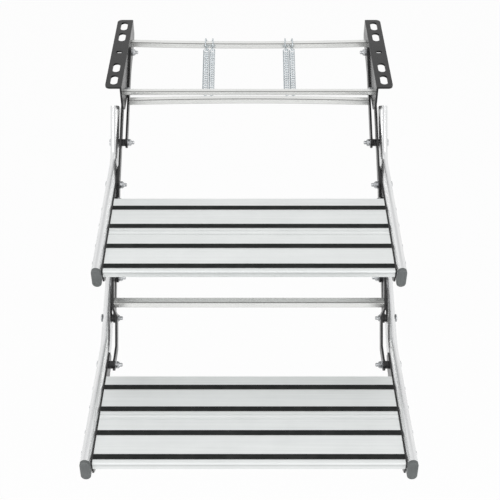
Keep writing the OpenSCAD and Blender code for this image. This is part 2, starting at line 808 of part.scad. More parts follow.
lower_pivot_nuts();
lower_spacers();
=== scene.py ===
import math

import bpy
from mathutils import Matrix, Vector


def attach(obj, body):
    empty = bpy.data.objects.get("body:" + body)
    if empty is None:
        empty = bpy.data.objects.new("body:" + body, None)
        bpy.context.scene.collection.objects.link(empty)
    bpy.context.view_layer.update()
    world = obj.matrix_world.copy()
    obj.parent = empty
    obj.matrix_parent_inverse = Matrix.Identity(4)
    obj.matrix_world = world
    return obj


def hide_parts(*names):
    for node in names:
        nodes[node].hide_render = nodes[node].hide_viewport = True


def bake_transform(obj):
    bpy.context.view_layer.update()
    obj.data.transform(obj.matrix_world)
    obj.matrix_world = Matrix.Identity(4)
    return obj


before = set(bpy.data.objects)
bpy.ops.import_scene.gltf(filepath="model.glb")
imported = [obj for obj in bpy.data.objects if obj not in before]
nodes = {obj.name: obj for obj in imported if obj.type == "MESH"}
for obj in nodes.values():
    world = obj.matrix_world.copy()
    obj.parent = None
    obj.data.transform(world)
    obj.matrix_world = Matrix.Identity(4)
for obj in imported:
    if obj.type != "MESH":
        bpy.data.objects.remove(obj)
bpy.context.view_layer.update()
bpy.ops.object.select_all(action="DESELECT")

# Camera and studio.
# The camera looks down on the opened step from the front. The floor and the world are white to the
# eye and to polished metal, and three wide lamps give soft, plain light from above and both sides.
scene = bpy.context.scene
scene.view_settings.view_transform = "Standard"

looking_down = 41.5
camera_lens = bpy.data.cameras.new("step_camera")
camera_lens.lens = 72
camera_lens.sensor_width = 36
camera_lens.shift_x = 0.002
camera_lens.clip_end = 50
camera = bpy.data.objects.new("step_camera", camera_lens)
camera.location = (0, -1.888, 1.103)
camera.rotation_euler = (math.radians(90 - looking_down), 0, 0)
scene.collection.objects.link(camera)
scene.camera = camera


def seen_directly(tree):
    """One for rays from the eye, from polished metal and through glass, and nought for others."""
    path = tree.nodes.new("ShaderNodeLightPath")
    either = tree.nodes.new("ShaderNodeMath")
    either.operation = "MAXIMUM"
    tree.links.new(path.outputs["Is Camera Ray"], either.inputs[0])
    tree.links.new(path.outputs["Is Glossy Ray"], either.inputs[1])
    any_of = tree.nodes.new("ShaderNodeMath")
    any_of.operation = "MAXIMUM"
    tree.links.new(either.outputs[0], any_of.inputs[0])
    tree.links.new(path.outputs["Is Transmission Ray"], any_of.inputs[1])
    return any_of.outputs[0]


room_light, seen_light = 0.5, 1.0
world = bpy.data.worlds.new("studio")
world.use_nodes = True
scene.world = world
tree = world.node_tree
tree.nodes.clear()
room = tree.nodes.new("ShaderNodeBackground")
room.inputs["Color"].default_value = (1, 1, 1, 1)
room.inputs["Strength"].default_value = room_light
white = tree.nodes.new("ShaderNodeBackground")
white.inputs["Color"].default_value = (1, 1, 1, 1)
white.inputs["Strength"].default_value = seen_light
pick = tree.nodes.new("ShaderNodeMixShader")
tree.links.new(seen_directly(tree), pick.inputs[0])
tree.links.new(room.outputs[0], pick.inputs[1])
tree.links.new(white.outputs[0], pick.inputs[2])
output = tree.nodes.new("ShaderNodeOutputWorld")
tree.links.new(pick.outputs[0], output.inputs["Surface"])

floor_height, floor_glow = -0.78, 0.95
bpy.ops.mesh.primitive_plane_add(size=14, location=(0, 0, floor_height))
floor = bpy.context.object
floor.name = "studio_floor"
floor_white = bpy.data.materials.new("studio_floor")
floor_white.use_nodes = True
tree = floor_white.node_tree
tree.nodes.clear()
matt = tree.nodes.new("ShaderNodeBsdfDiffuse")
matt.inputs["Color"].default_value = (0.9, 0.9, 0.9, 1)
glow = tree.nodes.new("ShaderNodeEmission")
glow.inputs["Color"].default_value = (1, 1, 1, 1)
glow.inputs["Strength"].default_value = seen_light
share = tree.nodes.new("ShaderNodeMath")
share.operation = "MULTIPLY"
share.inputs[1].default_value = floor_glow
tree.links.new(seen_directly(tree), share.inputs[0])
pick = tree.nodes.new("ShaderNodeMixShader")
tree.links.new(share.outputs[0], pick.inputs[0])
tree.links.new(matt.outputs[0], pick.inputs[1])
tree.links.new(glow.outputs[0], pick.inputs[2])
output = tree.nodes.new("ShaderNodeOutputMaterial")
tree.links.new(pick.outputs[0], output.inputs["Surface"])
floor.data.materials.append(floor_white)

for lamp_name, place, aim, width, power in (
    ("lamp_above", (0.0, 0.3, 2.3), (0, -0.35, -0.2), 2.2, 6),
    ("lamp_left", (-1.9, -2.3, 1.1), (0, -0.4, -0.25), 1.6, 31),
    ("lamp_right", (1.9, -2.3, 1.0), (0, -0.4, -0.25), 1.6, 27),
):
    lamp_data = bpy.data.lights.new(lamp_name, "AREA")
    lamp_data.size = width
    lamp_data.energy = power
    lamp = bpy.data.objects.new(lamp_name, lamp_data)
    lamp.location = place
    lamp.rotation_euler = (Vector(aim) - Vector(place)).to_track_quat("-Z", "Y").to_euler()
    scene.collection.objects.link(lamp)


# Brackets.
# Two folded angles of 4 mm steel, slotted for the bolts under the vehicle and powder coated black.
# The coat is satin, with a fine orange peel and a softer shine where hands have rubbed it.
def socket(group, name, kind, way, value=None):
    """Adds a named input or output to a node group."""
    made = group.interface.new_socket(name=name, in_out=way, socket_type=kind)
    if value is not None:
        made.default_value = value
    return made


def link(tree, from_socket, to_socket):
    """Wires one node's output to another's input."""
    tree.links.new(from_socket, to_socket)


coat_grain = bpy.data.node_groups.new("coat_grain", "ShaderNodeTree")
socket(coat_grain, "Vector", "NodeSocketVector", "INPUT")
socket(coat_grain, "Colour", "NodeSocketColor", "INPUT", (0.04, 0.04, 0.04, 1))
socket(coat_grain, "Rubbed", "NodeSocketColor", "INPUT", (0.08, 0.08, 0.08, 1))
socket(coat_grain, "Grain", "NodeSocketFloat", "INPUT", 900.0)
socket(coat_grain, "Smoothest", "NodeSocketFloat", "INPUT", 0.35)
socket(coat_grain, "Roughest", "NodeSocketFloat", "INPUT", 0.55)
socket(coat_grain, "Colour", "NodeSocketColor", "OUTPUT")
socket(coat_grain, "Roughness", "NodeSocketFloat", "OUTPUT")
socket(coat_grain, "Height", "NodeSocketFloat", "OUTPUT")
tree = coat_grain
given = tree.nodes.new("NodeGroupInput")
fine = tree.nodes.new("ShaderNodeTexNoise")
fine.inputs["Detail"].default_value = 2
link(tree, given.outputs["Vector"], fine.inputs["Vector"])
link(tree, given.outputs["Grain"], fine.inputs["Scale"])
broad = tree.nodes.new("ShaderNodeTexNoise")
broad.inputs["Scale"].default_value = 38
broad.inputs["Detail"].default_value = 4
broad.inputs["Roughness"].default_value = 0.6
link(tree, given.outputs["Vector"], broad.inputs["Vector"])
worn = tree.nodes.new("ShaderNodeMapRange")
worn.inputs["From Min"].default_value = 0.45
worn.inputs["From Max"].default_value = 0.75
link(tree, broad.outputs["Fac"], worn.inputs["Value"])
tone = tree.nodes.new("ShaderNodeMix")
tone.data_type = "RGBA"
link(tree, worn.outputs["Result"], tone.inputs["Factor"])
link(tree, given.outputs["Colour"], tone.inputs["A"])
link(tree, given.outputs["Rubbed"], tone.inputs["B"])
shine = tree.nodes.new("ShaderNodeMapRange")
shine.inputs["From Min"].default_value = 0.3
shine.inputs["From Max"].default_value = 0.7
link(tree, broad.outputs["Fac"], shine.inputs["Value"])
link(tree, given.outputs["Roughest"], shine.inputs["To Min"])
link(tree, given.outputs["Smoothest"], shine.inputs["To Max"])
result = tree.nodes.new("NodeGroupOutput")
link(tree, tone.outputs["Result"], result.inputs["Colour"])
link(tree, shine.outputs["Result"], result.inputs["Roughness"])
link(tree, fine.outputs["Fac"], result.inputs["Height"])


peel_depth = 0.0004


def coated(name, colour, rubbed, grain, smoothest, roughest, bump, specular=0.5):
    """A finish with an even colour and a fine grain: paint, moulded plastic or rubber."""
    finish = bpy.data.materials.new(name)
    finish.use_nodes = True
    tree = finish.node_tree
    skin = tree.nodes["Principled BSDF"]
    skin.inputs["Metallic"].default_value = 0
    skin.inputs["Specular IOR Level"].default_value = specular
    place = tree.nodes.new("ShaderNodeTexCoord")
    effect = tree.nodes.new("ShaderNodeGroup")
    effect.node_tree = coat_grain
    effect.inputs["Colour"].default_value = (*colour, 1)
    effect.inputs["Rubbed"].default_value = (*rubbed, 1)
    effect.inputs["Grain"].default_value = grain
    effect.inputs["Smoothest"].default_value = smoothest
    effect.inputs["Roughest"].default_value = roughest
    relief = tree.nodes.new("ShaderNodeBump")
    relief.inputs["Strength"].default_value = bump
    relief.inputs["Distance"].default_value = peel_depth
    link(tree, place.outputs["Object"], effect.inputs["Vector"])
    link(tree, effect.outputs["Colour"], skin.inputs["Base Color"])
    link(tree, effect.outputs["Roughness"], skin.inputs["Roughness"])
    link(tree, effect.outputs["Height"], relief.inputs["Height"])
    link(tree, relief.outputs["Normal"], skin.inputs["Normal"])
    return finish


def dress(finish, *names):
    """Gives a finish to finished nodes of the frame."""
    for name in names:
        for slot in nodes[name].material_slots:
            slot.material = finish


black_coat = coated(
    "black_powder_coat", (0.006, 0.006, 0.0065), (0.012, 0.012, 0.0125), 700, 0.2, 0.34, 0.2,
    specular=0.42
)
dress(black_coat, "bracket_left", "bracket_right")

# Tie bars and spring bar.
# Square steel tubes with rounded corners, bright zinc plated, bowed a little by the springs' pull.
drawn_lines = bpy.data.node_groups.new("drawn_lines", "ShaderNodeTree")
socket(drawn_lines, "Vector", "NodeSocketVector", "INPUT")
socket(drawn_lines, "Stretch", "NodeSocketVector", "INPUT", (3.0, 700.0, 700.0))
socket(drawn_lines, "Pale", "NodeSocketColor", "INPUT", (0.8, 0.8, 0.8, 1))
socket(drawn_lines, "Deep", "NodeSocketColor", "INPUT", (0.7, 0.7, 0.7, 1))
socket(drawn_lines, "Smoothest", "NodeSocketFloat", "INPUT", 0.25)
socket(drawn_lines, "Roughest", "NodeSocketFloat", "INPUT", 0.4)
socket(drawn_lines, "Colour", "NodeSocketColor", "OUTPUT")
socket(drawn_lines, "Roughness", "NodeSocketFloat", "OUTPUT")
socket(drawn_lines, "Height", "NodeSocketFloat", "OUTPUT")
tree = drawn_lines
given = tree.nodes.new("NodeGroupInput")
pull = tree.nodes.new("ShaderNodeMapping")
link(tree, given.outputs["Vector"], pull.inputs["Vector"])
link(tree, given.outputs["Stretch"], pull.inputs["Scale"])
lines = tree.nodes.new("ShaderNodeTexNoise")
lines.inputs["Scale"].default_value = 1
lines.inputs["Detail"].default_value = 3
lines.inputs["Roughness"].default_value = 0.65
link(tree, pull.outputs["Vector"], lines.inputs["Vector"])
cloud = tree.nodes.new("ShaderNodeTexNoise")
cloud.inputs["Scale"].default_value = 17
cloud.inputs["Detail"].default_value = 3
link(tree, given.outputs["Vector"], cloud.inputs["Vector"])
lines_share = 0.6
both = tree.nodes.new("ShaderNodeMath")
both.operation = "MULTIPLY_ADD"
both.inputs[1].default_value = lines_share
link(tree, lines.outputs["Fac"], both.inputs[0])
low = tree.nodes.new("ShaderNodeMath")
low.operation = "MULTIPLY"
low.inputs[1].default_value = 1 - lines_share
link(tree, cloud.outputs["Fac"], low.inputs[0])
link(tree, low.outputs[0], both.inputs[2])
spread = tree.nodes.new("ShaderNodeMapRange")
spread.inputs["From Min"].default_value = 0.35
spread.inputs["From Max"].default_value = 0.65
link(tree, both.outputs[0], spread.inputs["Value"])
tone = tree.nodes.new("ShaderNodeMix")
tone.data_type = "RGBA"
link(tree, spread.outputs["Result"], tone.inputs["Factor"])
link(tree, given.outputs["Deep"], tone.inputs["A"])
link(tree, given.outputs["Pale"], tone.inputs["B"])
shine = tree.nodes.new("ShaderNodeMapRange")
shine.inputs["From Min"].default_value = 0.35
shine.inputs["From Max"].default_value = 0.65
link(tree, both.outputs[0], shine.inputs["Value"])
link(tree, given.outputs["Roughest"], shine.inputs["To Min"])
link(tree, given.outputs["Smoothest"], shine.inputs["To Max"])
result = tree.nodes.new("NodeGroupOutput")
link(tree, tone.outputs["Result"], result.inputs["Colour"])
link(tree, shine.outputs["Result"], result.inputs["Roughness"])
link(tree, lines.outputs["Fac"], result.inputs["Height"])


line_depth = 0.0002


def bright_metal(name, pale, deep, stretch, smoothest, roughest, bump, metallic=1.0):
    """A bare or plated metal whose fine lines run the way it was drawn."""
    finish = bpy.data.materials.new(name)
    finish.use_nodes = True
    tree = finish.node_tree
    skin = tree.nodes["Principled BSDF"]
    skin.inputs["Metallic"].default_value = metallic
    place = tree.nodes.new("ShaderNodeTexCoord")
    effect = tree.nodes.new("ShaderNodeGroup")
    effect.node_tree = drawn_lines
    effect.inputs["Stretch"].default_value = stretch
    effect.inputs["Pale"].default_value = (*pale, 1)
    effect.inputs["Deep"].default_value = (*deep, 1)
    effect.inputs["Smoothest"].default_value = smoothest
    effect.inputs["Roughest"].default_value = roughest
    relief = tree.nodes.new("ShaderNodeBump")
    relief.inputs["Strength"].default_value = bump
    relief.inputs["Distance"].default_value = line_depth
    link(tree, place.outputs["Object"], effect.inputs["Vector"])
    link(tree, effect.outputs["Colour"], skin.inputs["Base Color"])
    link(tree, effect.outputs["Roughness"], skin.inputs["Roughness"])
    link(tree, effect.outputs["Height"], relief.inputs["Height"])
    link(tree, relief.outputs["Normal"], skin.inputs["Normal"])
    return finish


plated_tube = bright_metal(
    "plated_tube", (0.84, 0.845, 0.83), (0.77, 0.775, 0.76), (4, 420, 420), 0.2, 0.28, 0.02, 0.75
)

# Painted shade: a tube's rounded corners are painted darker than its flats, a painted dark
# reflection line along each
painted_shade_by_facing = bpy.data.node_groups.new("painted_shade_by_facing", "ShaderNodeTree")
socket(painted_shade_by_facing, "Normal", "NodeSocketVector", "INPUT")
socket(painted_shade_by_facing, "Sides", "NodeSocketVector", "INPUT", (0.0, 1.0, 1.0))
socket(painted_shade_by_facing, "Clear", "NodeSocketFloat", "INPUT", 0.995)
socket(painted_shade_by_facing, "Full", "NodeSocketFloat", "INPUT", 0.86)
socket(painted_shade_by_facing, "Colour", "NodeSocketColor", "INPUT", (0.7, 0.7, 0.7, 1))
socket(painted_shade_by_facing, "Painted Shade", "NodeSocketColor", "INPUT", (0.3, 0.3, 0.3, 1))
socket(painted_shade_by_facing, "Colour", "NodeSocketColor", "OUTPUT")
tree = painted_shade_by_facing
given = tree.nodes.new("NodeGroupInput")
chosen = tree.nodes.new("ShaderNodeVectorMath")
chosen.operation = "MULTIPLY"
link(tree, given.outputs["Normal"], chosen.inputs[0])
link(tree, given.outputs["Sides"], chosen.inputs[1])
either_way = tree.nodes.new("ShaderNodeVectorMath")
either_way.operation = "ABSOLUTE"
link(tree, chosen.outputs["Vector"], either_way.inputs[0])
parts = tree.nodes.new("ShaderNodeSeparateXYZ")
link(tree, either_way.outputs["Vector"], parts.inputs["Vector"])
upright = tree.nodes.new("ShaderNodeMath")
upright.operation = "MAXIMUM"
link(tree, parts.outputs["Y"], upright.inputs[0])
link(tree, parts.outputs["Z"], upright.inputs[1])
flattest = tree.nodes.new("ShaderNodeMath")
flattest.operation = "MAXIMUM"
link(tree, parts.outputs["X"], flattest.inputs[0])
link(tree, upright.outputs[0], flattest.inputs[1])
turned = tree.nodes.new("ShaderNodeMapRange")
turned.interpolation_type = "SMOOTHSTEP"
link(tree, flattest.outputs[0], turned.inputs["Value"])
link(tree, given.outputs["Clear"], turned.inputs["From Min"])
link(tree, given.outputs["Full"], turned.inputs["From Max"])
tone = tree.nodes.new("ShaderNodeMix")
tone.data_type = "RGBA"
link(tree, turned.outputs["Result"], tone.inputs["Factor"])
link(tree, given.outputs["Colour"], tone.inputs["A"])
link(tree, given.outputs["Painted Shade"], tone.inputs["B"])
result = tree.nodes.new("NodeGroupOutput")
link(tree, tone.outputs["Result"], result.inputs["Colour"])


def paint_shade_on(finish, sides, clear, full, shade_colour):
    """Paints shade into a finish's colour where it turns from the given sides: from clear on, fully
    at full.
    """
    tree = finish.node_tree
    skin = tree.nodes["Principled BSDF"]
    effect = tree.nodes.new("ShaderNodeGroup")
    effect.node_tree = painted_shade_by_facing
    effect.inputs["Sides"].default_value = sides
    effect.inputs["Clear"].default_value = clear
    effect.inputs["Full"].default_value = full
    effect.inputs["Painted Shade"].default_value = (*shade_colour, 1)
    link(tree, tree.nodes["Texture Coordinate"].outputs["Normal"], effect.inputs["Normal"])
    link(tree, skin.inputs["Base Color"].links[0].from_socket, effect.inputs["Colour"])
    link(tree, effect.outputs["Colour"], skin.inputs["Base Color"])


# Painted shade: a dark line is painted along each rounded corner of the bars, standing in for a
# reflection
paint_shade_on(plated_tube, (0, 1, 1), 0.995, 0.86, (0.22, 0.22, 0.215))
dress(plated_tube, "rear_tie_bar", "front_tie_bar", "spring_bar", "lower_tie_bar")

# Links and side plates.
# Flat steel bars with round ends, and shaped plates on the rails' inner sides. All are punched for
# the pivot bolts and powder coated like the brackets.
dress(
    black_coat,
    "upper_rear_link_left", "upper_rear_link_right",
    "upper_front_link_left", "upper_front_link_right",
    "drive_link_left", "drive_link_right",
    "lower_rear_link_left", "lower_rear_link_right",
    "lower_front_link_left", "lower_front_link_right",
    "upper_side_plate_left", "upper_side_plate_right",
    "lower_side_plate_left", "lower_side_plate_right",
)


# Springs.
# Four tension springs of 2 mm zinc-plated wire. The rear end of each is a pointed loop over the
# rear tie bar, and its front end goes into a hole in the spring bar. Each slackens in the fold.
def pick_points(piece, wanted):
    """Selects, in edit mode, the points that the given test wants."""
    bpy.ops.mesh.select_all(action="DESELECT")
    bpy.ops.mesh.select_mode(type="VERT")
    bpy.ops.object.mode_set(mode="OBJECT")
    for point in piece.data.vertices:
        point.select = wanted(point.co)
    bpy.ops.object.mode_set(mode="EDIT")


def pick_faces(piece, wanted):
    """Selects, in edit mode, the faces that the given test wants."""
    bpy.ops.mesh.select_all(action="DESELECT")
    bpy.ops.mesh.select_mode(type="FACE")
    bpy.ops.object.mode_set(mode="OBJECT")
    for face in piece.data.polygons:
        face.select = wanted(face)
    bpy.ops.object.mode_set(mode="EDIT")


def apply_modifiers(piece):
    """Turns every modifier of a piece into mesh."""
    bpy.context.view_layer.objects.active = piece
    for modifier in list(piece.modifiers):
        bpy.ops.object.modifier_apply(modifier=modifier.name)


def join_as(name, parts):
    """Joins parts into one piece, with its place in its mesh."""
    bpy.ops.object.select_all(action="DESELECT")
    for part in parts:
        part.select_set(True)
    bpy.context.view_layer.objects.active = parts[0]
    if len(parts) > 1:
        bpy.ops.object.join()
    piece = bpy.context.object
    bpy.ops.object.transform_apply(location=True, rotation=True, scale=True)
    piece.name = name
    piece.data.name = name
    return piece


def fit(piece, finish, smooth=35):
    """Gives a made piece its finish and its slot, smooth where it bends less than the angle."""
    piece.data.materials.clear()
    piece.data.materials.append(finish)
    bpy.ops.object.select_all(action="DESELECT")
    piece.select_set(True)
    bpy.context.view_layer.objects.active = piece
    bpy.ops.object.shade_smooth_by_angle(angle=math.radians(smooth))


def copy_to(template, place):
    """A copy with its own mesh, put where the matrix says."""
    made = template.copy()
    made.data = template.data.copy()
    scene.collection.objects.link(made)
    made.matrix_world = place
    return made


def drop(*templates):
    """Takes away patterns that were only there to be copied."""
    for template in templates:
        bpy.data.objects.remove(template)


rear_bar_y, rear_bar_z = 0.085, -0.028
spring_bar_y, spring_bar_z = -0.072387, -0.077862
pull_way = Vector((0, spring_bar_y - rear_bar_y, spring_bar_z - rear_bar_z))
spring_span = pull_way.length
spring_turn = Matrix.Rotation(math.atan2(pull_way.z, pull_way.y) - math.pi / 2, 4, "X")
# How far a bar bows in where a pair of springs pulls on it
bar_bow, pair_middle, bar_half = 0.0045, 0.088, 0.2605
bowed_in = bar_bow * (1 - (pair_middle / bar_half) ** 2)
wire, coil_radius, coil_turns = 0.001, 0.0056, 24
coil_from = bowed_in + 0.016
coil_pitch = (spring_span - 2 * coil_from) / coil_turns
across, laid_back = (0, math.pi / 2, 0), (math.pi / 2, 0, 0)

bpy.ops.mesh.primitive_circle_add(
    vertices=10, radius=wire, fill_type="NOTHING", location=(coil_radius, 0, 0),
    rotation=laid_back
)
coil = bpy.context.object
bpy.ops.object.transform_apply(location=True, rotation=True)
winding = coil.modifiers.new("winding", "SCREW")
winding.screw_offset = coil_pitch
winding.iterations = coil_turns
winding.steps = 20
winding.render_steps = 20
winding.use_normal_calculate = True
apply_modifiers(coil)
coil.location = (0, 0, coil_from)

loop_radius, loop_wire, loop_yaw = 0.0107, 0.0012, 9
point_pull, point_rows = 0.0012, (-0.004, -0.0072, -0.0096)
bpy.ops.mesh.primitive_torus_add(
    major_radius=loop_radius, minor_radius=loop_wire, major_segments=32, minor_segments=10,
    location=(0, 0, 0), rotation=across
)
loop = bpy.context.object
bpy.ops.object.transform_apply(rotation=True)
bpy.ops.object.mode_set(mode="EDIT")
# The farther a row lies from the coil, the more often it is pulled out, so the ring ends in a point
for reach in point_rows:
    pick_points(loop, lambda co, reach=reach: co.z < reach)
    bpy.ops.transform.translate(value=(0, 0, -point_pull))
bpy.ops.object.mode_set(mode="OBJECT")
loop.rotation_euler = (0, 0, math.radians(loop_yaw))
loop.location = (0, 0, bowed_in)

neck_from, neck_to = bowed_in + 0.0105, coil_from
bpy.ops.mesh.primitive_cylinder_add(
    vertices=12, radius=wire, depth=neck_to - neck_from, location=(0, 0, (neck_to + neck_from) / 2)
)
neck = bpy.context.object
spring_parts = [coil, loop, neck]
spoke_long, spoke_middle = 0.0055, 0.00235
for spoke_at in (coil_from, spring_span - coil_from):
    bpy.ops.mesh.primitive_cylinder_add(
        vertices=12, radius=wire, depth=spoke_long, location=(spoke_middle, 0, spoke_at),
        rotation=across
    )
    spring_parts.append(bpy.context.object)
shank_long = 0.0165
bpy.ops.mesh.primitive_cylinder_add(
    vertices=12, radius=wire, depth=shank_long,
    location=(0, 0, spring_span - coil_from + shank_long / 2)
)
spring_parts.append(bpy.context.object)
spring_template = join_as("spring_template", spring_parts)

spring_wire = bright_metal(
    "spring_wire", (0.64, 0.68, 0.70), (0.48, 0.52, 0.54), (260, 260, 260), 0.2, 0.32, 0.08
)
# The two loops of a pair lean away from each other, so every second spring is rolled back
rolled_back = -2 * loop_yaw
for number, spring_x, roll in (
    (1, -0.0949, 0), (2, -0.0812, rolled_back), (3, 0.0812, 0), (4, 0.0949, rolled_back),
):
    place = Matrix.Translation((spring_x, rear_bar_y, rear_bar_z)) @ spring_turn
    place = place @ Matrix.Rotation(math.radians(roll), 4, "Z")
    spring = join_as(f"spring_coil_{number}", [copy_to(spring_template, place)])
    fit(spring, spring_wire, 50)
    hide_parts(f"spring_{number}")
    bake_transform(spring)
drop(spring_template)

# Pivot bolts and lock nuts.
# Zinc-plated M8 bolts with low domed heads outside, and lock nuts with a nylon collar and a washer
# inside. Each nut leaves a few turns of thread showing, and every pivot turns on a plain shank.
zinc = bright_metal(
    "zinc_plate", (0.58, 0.59, 0.60), (0.26, 0.27, 0.28), (180, 180, 180), 0.14, 0.3, 0.08
)

head_radius, head_high, rim_high, dome_fall = 0.008, 0.004, 0.0012, 0.82
bpy.ops.mesh.primitive_cylinder_add(
    vertices=40, radius=head_radius, depth=head_high, location=(0, 0, head_high / 2)
)
domed_head = bpy.context.object
bpy.ops.object.transform_apply(location=True)
bpy.ops.object.mode_set(mode="EDIT")
pick_faces(domed_head, lambda face: face.normal.z > 0.9)
bpy.ops.mesh.inset(thickness=0.0016)
bpy.ops.mesh.inset(thickness=0.0022)
bpy.ops.object.mode_set(mode="OBJECT")
for point in domed_head.data.vertices:
    if point.co.z > head_high / 2:
        outwards = math.hypot(point.co.x, point.co.y) / head_radius
        dome = math.sqrt(max(0.0, 1 - dome_fall * outwards * outwards))
        point.co.z = rim_high + (head_high - rim_high) * dome
bpy.ops.object.mode_set(mode="EDIT")
bpy.ops.mesh.select_all(action="SELECT")
bpy.ops.mesh.bevel(offset=0.0004, segments=2)
bpy.ops.object.mode_set(mode="OBJECT")

# A nut stands on its washer, and its nylon collar stands out of the hexagon
hex_radius, hex_high, hex_middle = 0.00745, 0.0050, 0.0037
washer_radius, washer_high = 0.0078, 0.0011
collar_radius, collar_high, collar_middle = 0.0060, 0.0022, 0.0069
bpy.ops.mesh.primitive_cylinder_add(
    vertices=6, radius=hex_radius, depth=hex_high, location=(0, 0, hex_middle)
)
hexagon = bpy.context.object
bpy.ops.object.mode_set(mode="EDIT")
bpy.ops.mesh.select_all(action="SELECT")
bpy.ops.mesh.bevel(offset=0.0005, segments=2)
bpy.ops.object.mode_set(mode="OBJECT")
bpy.ops.mesh.primitive_cylinder_add(
    vertices=32, radius=washer_radius, depth=washer_high, location=(0, 0, washer_high / 2)
)
washer = bpy.context.object
bpy.ops.object.mode_set(mode="EDIT")
pick_faces(washer, lambda face: abs(face.normal.z) > 0.9)
bpy.ops.mesh.bevel(offset=0.0002, segments=1)
bpy.ops.object.mode_set(mode="OBJECT")
bpy.ops.mesh.primitive_cylinder_add(
    vertices=32, radius=collar_radius, depth=collar_high, location=(0, 0, collar_middle)
)
collar = bpy.context.object
bpy.ops.object.mode_set(mode="EDIT")
pick_faces(collar, lambda face: face.normal.z > 0.9)
bpy.ops.mesh.bevel(offset=0.0006, segments=3)
pick_faces(collar, lambda face: face.normal.z > 0.99)
bpy.ops.mesh.inset(thickness=0.0008)
bpy.ops.transform.translate(value=(0, 0, -0.0004))
bpy.ops.object.mode_set(mode="OBJECT")
lock_nut = join_as("lock_nut", [hexagon, washer, collar])

thread_pitch, thread_turns, ridge_size, ridge_at = 0.00125, 4, 0.0008, (0.0034, 0, -0.0003)
core_radius, core_long, core_middle = 0.0035, 0.0068, 0.0024
bpy.ops.mesh.primitive_circle_add(
    vertices=3, radius=ridge_size, fill_type="NOTHING", location=ridge_at, rotation=laid_back
)
thread = bpy.context.object
bpy.ops.object.transform_apply(location=True, rotation=True)
cutting = thread.modifiers.new("cutting", "SCREW")
cutting.screw_offset = thread_pitch
cutting.iterations = thread_turns
cutting.steps = 24
cutting.render_steps = 24
cutting.use_normal_calculate = True
apply_modifiers(thread)
bpy.ops.mesh.primitive_cylinder_add(
    vertices=24, radius=core_radius, depth=core_long, location=(0, 0, core_middle)
)
core = bpy.context.object
bpy.ops.object.mode_set(mode="EDIT")
pick_faces(core, lambda face: face.normal.z > 0.9)
bpy.ops.mesh.bevel(offset=0.0007, segments=1)
bpy.ops.object.mode_set(mode="OBJECT")
thread_end = join_as("thread_end", [thread, core])


def facing(x, y, z, way):
    """Where a part that points up is laid along the width, outwards (1) or inwards (-1)."""
    return Matrix.Translation((x, y, z)) @ Matrix.Rotation(math.radians(90 * way), 4, "Y")


def both_sides(template, x, y, z, way):
    """A copy on the right-hand side and one on the left."""
    return [copy_to(template, facing(side * x, y, z, side * way)) for side in (1, -1)]


def shanks(x_from, x_to, y, z, radius):
    """Plain round shanks on both sides, from near a head to inside its nut."""
    made = []
    for side in (1, -1):
        bpy.ops.mesh.primitive_cylinder_add(
            vertices=24, radius=radius, depth=x_from - x_to,
            location=(side * (x_from + x_to) / 2, y, z), rotation=across
        )
        made.append(bpy.context.object)
    return made


pivot_at = {
    "bracket_rear": (0.032, -0.020), "bracket_front": (-0.072, -0.052),
    "upper_rear": (-0.157792, -0.125204), "upper_front": (-0.261792, -0.157204),
    "hanger_rear": (-0.305792, -0.166204), "hanger_front": (-0.405792, -0.193204),
    "lower_rear": (-0.487896, -0.316318), "lower_front": (-0.587896, -0.343318),
    "tail": (-0.381394, -0.255796), "drive": (-0.425394, -0.264796),
}
# How far the outer and inner faces of each layer are from the middle of the step
rail_face, rail_back, link_face, link_back = 0.2905, 0.2725, 0.2690, 0.2650
web_face, web_back, drive_back, rear_link_back = 0.2645, 0.2605, 0.2605, 0.2560
joggle_back, nut_gap, nut_high, bolt_radius = 0.2583, 0.0003, 0.008, 0.004
into_head, into_nut, flatter, full = 0.0005, 0.001, 0.6, 1.0


def fastened(bolts_name, nuts_name, body, bolts_nodes, nuts_nodes, pivots):
    """Bolts and nuts of one body. A pivot gives its place, the head's and the nut's planes, and the
    head's share of the full height."""
    bolt_parts, nut_parts = [], []
    for pivot, head_x, nut_x, flat in pivots:
        y, z = pivot_at[pivot]
        for made in both_sides(domed_head, head_x, y, z, 1):
            made.matrix_world = made.matrix_world @ Matrix.Diagonal((1, 1, flat, 1))
            bolt_parts.append(made)
        shank_end = nut_x - nut_high + into_nut
        bolt_parts += shanks(head_x + into_head, shank_end, y, z, bolt_radius)
        bolt_parts += both_sides(thread_end, nut_x - nut_high, y, z, -1)
        nut_parts += both_sides(lock_nut, nut_x, y, z, -1)
    bolts = join_as(bolts_name, bolt_parts)
    fit(bolts, zinc)
    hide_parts(*bolts_nodes)
    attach(bolts, body)
    nuts = join_as(nuts_name, nut_parts)
    fit(nuts, zinc)
    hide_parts(*nuts_nodes)
    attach(nuts, body)


fastened(
    "bracket_pivot_bolts", "bracket_lock_nuts", "brackets", ["bracket_bolts"], ["bracket_nuts"],
    [("bracket_rear", web_face, rear_link_back - nut_gap, flatter),
     ("bracket_front", link_face + nut_gap, web_back, flatter)],
)
fastened(
    "tail_bolts", "tail_lock_nuts", "upper_front_links", ["drive_bolts"], ["drive_nuts"],
    [("tail", link_face, drive_back - nut_gap, flatter)],
)
fastened(
    "drive_pin_bolts", "drive_pin_lock_nuts", "lower_rear_links", ["drive_pins"], ["drive_pins"],
    [("drive", link_face, drive_back - nut_gap, flatter)],
)
fastened(
    "upper_step_bolts", "upper_step_lock_nuts", "upper_step",
    ["upper_pivot_bolts"], ["upper_pivot_nuts"],
    [("upper_rear", rail_face, rear_link_back - nut_gap, full),
     ("upper_front", rail_face, link_back - nut_gap, full),
     ("hanger_rear", rail_face, link_back - nut_gap, full),
     ("hanger_front", rail_back, link_back - nut_gap, full)],
)
fastened(
    "lower_step_bolts", "lower_step_lock_nuts", "lower_step",
    ["lower_pivot_bolts"], ["lower_pivot_nuts"],
    [("lower_rear", rail_face, link_back - nut_gap, full),
     ("lower_front", rail_face, joggle_back - nut_gap, full)],
)
drop(lock_nut, thread_end)

